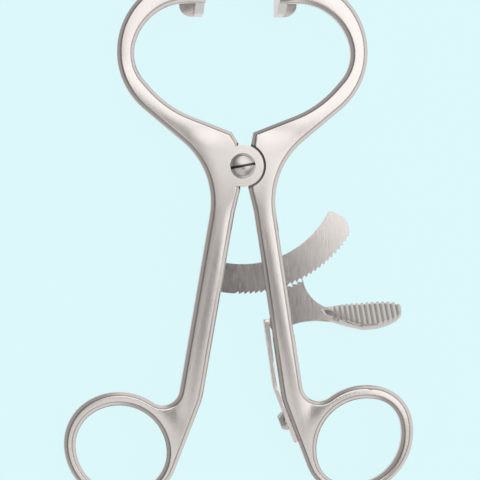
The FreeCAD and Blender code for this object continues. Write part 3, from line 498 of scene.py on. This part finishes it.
class GAG_OT_leaf_spring(bpy.types.Operator):
    """Make the leaf spring, from its screw to the lever's tail, as a copy cut across its length"""
    bl_idname = "gag.leaf_spring"
    bl_label = "Leaf spring"

    def execute(self, context):
        finish = context.scene.gag_finish
        strip = bpy.data.objects.new("leaf_spring_strip", frame["nodes"]["leaf_spring"].data.copy())
        context.scene.collection.objects.link(strip)
        mesh = bmesh.new()
        mesh.from_mesh(strip.data)
        bmesh.ops.remove_doubles(mesh, verts=mesh.verts, dist=1e-7)
        low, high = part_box("leaf_spring")
        for index in range(1, SPRING_CUTS):
            place = low.lerp(high, index / SPRING_CUTS)
            parts = mesh.verts[:] + mesh.edges[:] + mesh.faces[:]
            bmesh.ops.bisect_plane(mesh, geom=parts, plane_co=place, plane_no=(0, 1, 0))
        mesh.to_mesh(strip.data)
        mesh.free()
        strip.data.materials.clear()
        strip.data.materials.append(
            steel("spring_steel", finish.forged_colour, finish.polish, grain=0.3, brushing=0.3))
        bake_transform(strip)
        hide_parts("leaf_spring")
        soften(strip, SPRING_EDGE, bends=True)
        return {"FINISHED"}


def facing(place, target, side):
    """Turns a lamp or a camera at a place to face a target, with its width along a direction."""
    away = (place - target).normalized()
    across = (side - away * side.dot(away)).normalized()
    turn = Matrix((across, away.cross(across), away)).transposed().to_4x4()
    return Matrix.Translation(place) @ turn


def area_lamp(name, place, side, size, power):
    """A soft lamp that faces the middle of the gag."""
    data = bpy.data.lights.new(name, "AREA")
    data.shape = "RECTANGLE"
    data.size, data.size_y = size
    data.energy = power
    lamp = bpy.data.objects.new(name, data)
    lamp.matrix_world = facing(place, gag_point(*LAMP_TARGET), side)
    bpy.context.scene.collection.objects.link(lamp)


def camera_colour(shader, colour, surface):
    """Shows a surface to the lens, and a paler one to the steel, mostly as its plain colour."""
    path = {name: shader.node("ShaderNodeLightPath", {}, {}, name)
            for name in ("Is Camera Ray", "Is Glossy Ray", "Is Transmission Ray")}
    seen = path["Is Camera Ray"] + path["Is Glossy Ray"] + path["Is Transmission Ray"]
    plain = shader.node("ShaderNodeEmission", {}, {"Color": colour, "Strength": 1.0})
    paler = shader.node("ShaderNodeEmission", {}, {"Color": MIRRORED_BACKDROP, "Strength": 1.0})
    glow = shader.node("ShaderNodeMixShader", {}, {0: path["Is Glossy Ray"], 1: plain, 2: paler})
    return shader.node("ShaderNodeMixShader", {}, {0: seen * PLAIN_SHARE, 1: surface, 2: glow})


def make_floor(settings):
    """Pale floor under the gag."""
    mesh = bpy.data.meshes.new("floor")
    corners = [(x * FLOOR_REACH, y * FLOOR_REACH, 0) for x, y in ((-1, -1), (1, -1), (1, 1), (-1, 1))]
    mesh.from_pydata(corners, [], [(0, 1, 2, 3)])
    floor = bpy.data.objects.new("floor", mesh)
    bpy.context.scene.collection.objects.link(floor)
    shader = Shader(bpy.data.materials.new("pale_floor"))
    colour = (*settings.backdrop, 1.0)
    matt = shader.node("ShaderNodeBsdfPrincipled", {}, {"Base Color": colour, "Roughness": 0.9})
    mesh.materials.append(shader.output(camera_colour(shader, colour, matt)))


def make_world(settings):
    """Room light: a soft ceiling, a dim band under it and a light horizon."""
    world = bpy.data.worlds.new("room")
    bpy.context.scene.world = world
    shader = Shader(world, "World")
    direction = shader.node("ShaderNodeTexCoord", {}, {}, "Generated")
    height = shader.vector_math("DOT_PRODUCT", direction, (0, 0, 1), "Value")
    stops = [(position, (level, level * 0.985, level * 0.97, 1.0)) for position, level in ROOM]
    glow = shader.node("ShaderNodeValToRGB", {"stops": stops}, {"Fac": height})
    sideways = shader.vector_math("DOT_PRODUCT", direction, tuple(RIGHT), "Value")
    strength = (shader.step(sideways, *ROOM_EDGE) * (1 - ROOM_DIM) + ROOM_DIM) * settings.world_light
    light = shader.node("ShaderNodeBackground", {}, {"Color": glow, "Strength": strength})
    shader.output(light)


def make_card():
    """Small dark card high over the gag, whose reflection darkens the middle of the flat faces."""
    mesh = bpy.data.meshes.new("flag")
    middle = gag_point(*CARD_PLACE)
    rim = [middle + (RIGHT * math.cos(turn) + JAWS * math.sin(turn)) * CARD_RADIUS
           for turn in (math.tau * step / CARD_CORNERS for step in range(CARD_CORNERS))]
    mesh.from_pydata(rim, [], [tuple(range(CARD_CORNERS))])
    card = bpy.data.objects.new("flag", mesh)
    bpy.context.scene.collection.objects.link(card)
    shader = Shader(bpy.data.materials.new("black_card"))
    matt = shader.node("ShaderNodeBsdfDiffuse", {}, {"Color": (0.01, 0.01, 0.01, 1)})
    mesh.materials.append(shader.output(matt))


def make_camera(settings):
    """Camera square to the gag's plane, a little to its left."""
    target = gag_point(*LENS_TARGET)
    away = UP * math.cos(settings.yaw) - RIGHT * math.sin(settings.yaw)
    data = bpy.data.cameras.new("camera")
    data.sensor_width = 36.0
    data.lens = data.sensor_width * settings.distance / settings.field
    camera = bpy.data.objects.new("camera", data)
    camera.matrix_world = facing(target + away * settings.distance, target, RIGHT)
    bpy.context.scene.collection.objects.link(camera)
    bpy.context.scene.camera = camera


class GAG_OT_stage(bpy.types.Operator):
    """Set the floor, the lamps and the camera"""
    bl_idname = "gag.stage"
    bl_label = "Stage"

    def execute(self, context):
        settings = context.scene.gag_stage
        make_floor(settings)
        make_world(settings)
        make_card()
        area_lamp("key_lamp", gag_point(*KEY_PLACE), KEY_SIDE, KEY_SIZE, settings.lamp_power)
        area_lamp("fill_lamp", gag_point(*FILL_PLACE), RIGHT, FILL_SIZE, settings.lamp_power * FILL_SHARE)
        make_camera(settings)
        context.scene.view_settings.view_transform = "Standard"
        return {"FINISHED"}


class GAG_PT_panel(bpy.types.Panel):
    """Lists the gag's operators and settings"""
    bl_label = "Mouth Gag"
    bl_idname = "GAG_PT_panel"
    bl_space_type = "VIEW_3D"
    bl_region_type = "UI"
    bl_category = "Mouth Gag"

    def draw(self, context):
        layout = self.layout
        for settings in (context.scene.gag_finish, context.scene.gag_stage):
            for name in settings.__annotations__:
                layout.prop(settings, name)
        for operator in OPERATORS:
            layout.operator(operator.bl_idname)


OPERATORS = (GAG_OT_branches, GAG_OT_ratchet, GAG_OT_release, GAG_OT_screws, GAG_OT_leaf_spring,
             GAG_OT_stage)
CLASSES = (GagFinish, GagStage, *OPERATORS, GAG_PT_panel)


def register():
    for item in CLASSES:
        bpy.utils.register_class(item)
    bpy.types.Scene.gag_finish = PointerProperty(type=GagFinish)
    bpy.types.Scene.gag_stage = PointerProperty(type=GagStage)


def unregister():
    del bpy.types.Scene.gag_stage
    del bpy.types.Scene.gag_finish
    for item in reversed(CLASSES):
        bpy.utils.unregister_class(item)


def main():
    register()
    bpy.ops.gag.branches()
    bpy.ops.gag.ratchet()
    bpy.ops.gag.release()
    bpy.ops.gag.screws()
    bpy.ops.gag.leaf_spring()
    bpy.ops.gag.stage()


if __name__ == "__main__":
    main()
